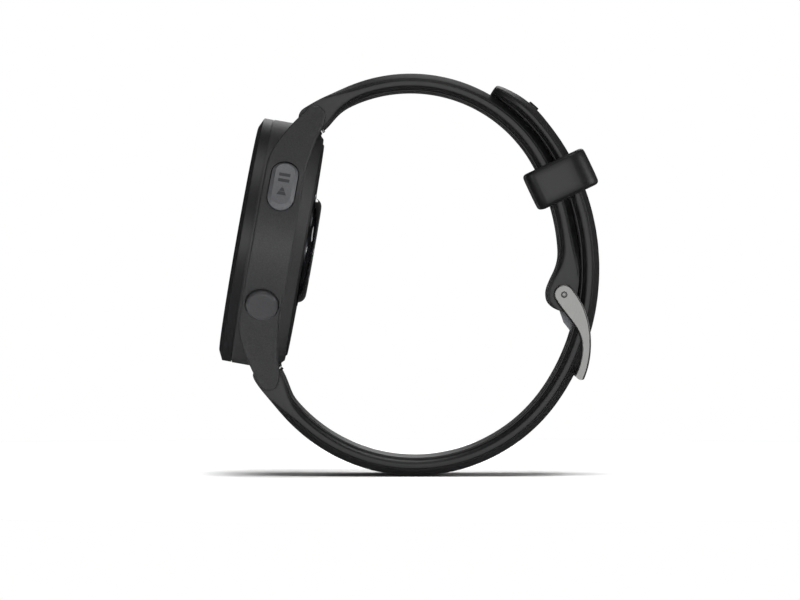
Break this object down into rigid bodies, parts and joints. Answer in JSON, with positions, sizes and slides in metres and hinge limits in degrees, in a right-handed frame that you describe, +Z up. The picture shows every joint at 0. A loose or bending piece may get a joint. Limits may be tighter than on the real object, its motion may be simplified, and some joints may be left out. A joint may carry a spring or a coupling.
{
  "type": "gps running watch",
  "caption": "Round sports watch with side buttons and optical sensor on a closed silicone strap with pin buckle and sliding keeper.",
  "frame": {"origin": "middle of the wrist opening, midway between the strap's edges", "axes": "+Z up through the top of the loop, +X from the case towards the buckle, +Y along the wrist from the 3 o'clock side to the 9 o'clock side; the case leans back 10 degrees"},
  "size_m": [0.0711, 0.048, 0.075],
  "materials": {
    "case_polymer": "fibre-filled polymer, fine moulded grain",
    "bezel_polymer": "fibre-filled polymer, satin",
    "crystal_glass": "hardened flat glass",
    "gasket_rubber": "silicone rubber, matte",
    "display": "dark display stack",
    "cover_polymer": "moulded polymer, matte black",
    "flex_film": "polyimide film",
    "circuit_board": "solder-masked glass-fibre laminate",
    "sheet_steel": "drawn sheet steel",
    "battery_foil": "laminated foil pouch",
    "turned_steel": "turned stainless steel",
    "contact_gold": "gold-plated contacts",
    "sensor_trim": "satin steel trim ring",
    "sensor_lens": "polished dark lens",
    "led_package": "clear epoxy package",
    "photodiode": "tinted epoxy package",
    "start_polymer": "grey moulded polymer",
    "button_polymer": "charcoal moulded polymer",
    "strap_silicone": "soft silicone, matte black",
    "buckle_steel": "satin stainless steel"
  },
  "bodies": {
    "case": {"main_case": "case_polymer", "bezel": "bezel_polymer", "crystal": "crystal_glass", "crystal_gasket": "gasket_rubber", "display_panel": "display", "display_frame": "cover_polymer", "display_flex": "flex_film", "gps_antenna": "contact_gold", "main_board": "circuit_board", "shield_cans": "sheet_steel", "battery_tray": "cover_polymer", "battery": "battery_foil", "motor_housing": "sheet_steel", "buzzer_disc": "contact_gold", "side_switches": "sheet_steel", "button_seals": "gasket_rubber", "back_cover": "cover_polymer", "back_gasket": "gasket_rubber", "back_screws": "turned_steel", "pressure_vent": "sheet_steel", "charging_port": "cover_polymer", "charging_pins": "contact_gold", "sensor_ring": "sensor_trim", "sensor_window": "sensor_lens", "sensor_board": "circuit_board", "sensor_leds": "led_package", "photodiodes": "photodiode", "upper_bar_tube": "turned_steel", "lower_bar_tube": "turned_steel", "upper_bar_spring": "turned_steel", "lower_bar_spring": "turned_steel"},
    "motor_rotor": {"motor_rotor": "turned_steel"},
    "upper_release": {"upper_bar_plunger": "turned_steel"},
    "lower_release": {"lower_bar_plunger": "turned_steel"},
    "upper_strap": {"upper_strap": "strap_silicone"},
    "lower_strap": {"lower_strap": "strap_silicone"},
    "keeper": {"keeper": "strap_silicone"},
    "buckle": {"buckle_frame": "buckle_steel", "buckle_pin": "buckle_steel"},
    "tongue": {"tongue": "buckle_steel"},
    "start_button": {"start_button": "start_polymer", "start_button_clip": "turned_steel"},
    "lap_button": {"lap_button": "button_polymer", "lap_button_clip": "turned_steel"},
    "light_button": {"light_button": "button_polymer", "light_button_clip": "turned_steel"},
    "up_button": {"up_button": "button_polymer", "up_button_clip": "turned_steel"},
    "down_button": {"down_button": "button_polymer", "down_button_clip": "turned_steel"}
  },
  "joints": [
    {"name": "start_press", "type": "slide", "parent": "case", "child": "start_button", "axis": [-0.0842, 0.8746, -0.4774], "range_m": [0, 0.0005], "stiffness_N_per_m": 3000, "springref_m": -0.0003},
    {"name": "lap_press", "type": "slide", "parent": "case", "child": "lap_button", "axis": [0.0842, 0.8746, 0.4774], "range_m": [0, 0.0005], "stiffness_N_per_m": 3000, "springref_m": -0.0003},
    {"name": "light_press", "type": "slide", "parent": "case", "child": "light_button", "axis": [-0.0868, -0.866, -0.4924], "range_m": [0, 0.0005], "stiffness_N_per_m": 3000, "springref_m": -0.0003},
    {"name": "up_press", "type": "slide", "parent": "case", "child": "up_button", "axis": [0, -1, 0], "range_m": [0, 0.0005], "stiffness_N_per_m": 3000, "springref_m": -0.0003},
    {"name": "down_press", "type": "slide", "parent": "case", "child": "down_button", "axis": [0.0868, -0.866, 0.4924], "range_m": [0, 0.0005], "stiffness_N_per_m": 3000, "springref_m": -0.0003},
    {"name": "motor_spin", "type": "hinge", "parent": "case", "child": "motor_rotor", "pos_m": [-0.02516, -0.0112, 0.00543], "axis": [-0.9848, 0, 0.1736], "continuous": true},
    {"name": "upper_release_slide", "type": "slide", "parent": "case", "child": "upper_release", "axis": [0, 1, 0], "range_m": [0, 0.0012], "stiffness_N_per_m": 600, "springref_m": -0.001, "deforming": ["upper_bar_spring"]},
    {"name": "lower_release_slide", "type": "slide", "parent": "case", "child": "lower_release", "axis": [0, 1, 0], "range_m": [0, 0.0012], "stiffness_N_per_m": 600, "springref_m": -0.001, "deforming": ["lower_bar_spring"]},
    {"name": "upper_strap_hinge", "type": "hinge", "parent": "case", "child": "upper_strap", "pos_m": [-0.01809, 0, 0.02942], "axis": [0, 1, 0], "range_deg": [-0.25, 0.25]},
    {"name": "lower_strap_hinge", "type": "hinge", "parent": "case", "child": "lower_strap", "pos_m": [-0.02672, 0, -0.01952], "axis": [0, 1, 0], "range_deg": [-0.27, 0.27]},
    {"name": "keeper_travel", "type": "hinge", "parent": "upper_strap", "child": "keeper", "pos_m": [-0.008, 0, 0.0013], "axis": [0, 1, 0], "range_deg": [-4, 5]},
    {"name": "buckle_hinge", "type": "hinge", "parent": "upper_strap", "child": "buckle", "pos_m": [0.02825, 0, -0.0037], "axis": [0, 1, 0], "range_deg": [-1, 1]},
    {"name": "tongue_hinge", "type": "hinge", "parent": "buckle", "child": "tongue", "pos_m": [0.02825, 0, -0.0037], "axis": [0, -1, 0], "range_deg": [0, 4]}
  ],
  "couplings": [
    {"joint": "lower_strap_hinge", "follows": "upper_strap_hinge", "ratio": -1.06}
  ]
}
